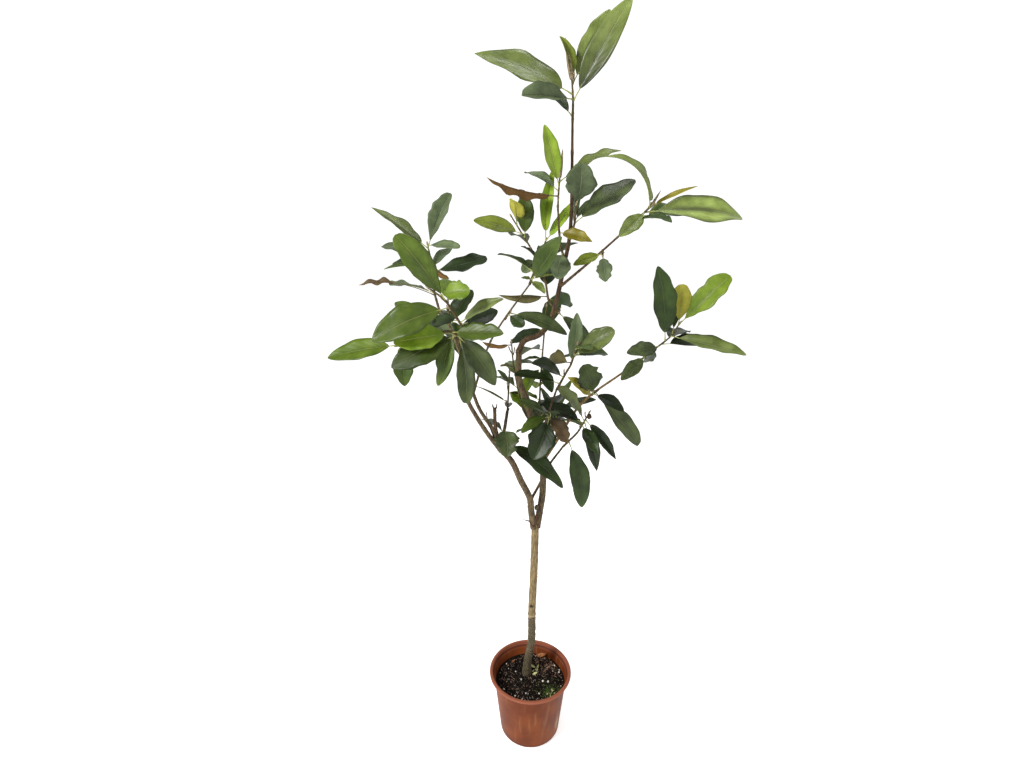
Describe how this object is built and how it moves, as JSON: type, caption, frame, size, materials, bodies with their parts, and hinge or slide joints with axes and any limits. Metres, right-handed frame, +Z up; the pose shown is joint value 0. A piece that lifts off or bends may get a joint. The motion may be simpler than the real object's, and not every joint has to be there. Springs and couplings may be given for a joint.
{
  "type": "potted standard magnolia",
  "caption": "Young standard magnolia in a tapered nursery pot: clear trunk, forked boughs and an open crown of large glossy oval leaves.",
  "frame": {"origin": "centre of the pot's flat underside", "axes": "+Z up the trunk, -Y towards the front of the plant as pictured, +X to the right there"},
  "size_m": [1.0133, 0.5542, 1.9213],
  "materials": {
    "pot": "terracotta-coloured moulded plastic, matte, with faint upright scuffs",
    "soil": "dark bark-based potting mix with pale perlite grains and shreds of bark",
    "bark": "grey-brown young bark, rougher near the foot, with leaf scars and rings",
    "leaf": "leathery evergreen leaves, glossy above and matte beneath, from bright to very dark green, with a few ochre, rust-brown and dead ones"
  },
  "bodies": {
    "root": {"back_leaves": "leaf", "back_left_leaves": "leaf", "centre_bough": "bark", "centre_front_leaves": "leaf", "centre_low_leaves": "leaf", "elbow_leaves": "leaf", "inner_left_leaves": "leaf", "leader": "bark", "leader_left_leaves": "leaf", "leader_right_leaves": "leaf", "left_back_bough": "bark", "left_bough": "bark", "left_front_bough": "bark", "left_low_leaves": "leaf", "left_rear_leaves": "leaf", "left_top_leaves": "leaf", "low_right_bough": "bark", "low_right_leaves": "leaf", "middle_bough": "bark", "middle_inner_leaves": "leaf", "middle_leaves": "leaf", "pot": "pot", "pruned_stub": "bark", "rear_bough": "bark", "rear_leaves": "leaf", "right_bough": "bark", "right_inner_leaves": "leaf", "right_long_bough": "bark", "right_tip_leaves": "leaf", "soil": "soil", "top_leaves": "leaf", "trunk": "bark", "upper_back_leaves": "leaf", "upper_left_leaves": "leaf", "upper_right_bough": "bark", "upper_right_inner_leaves": "leaf", "upper_right_leaves": "leaf"}
  },
  "joints": []
}
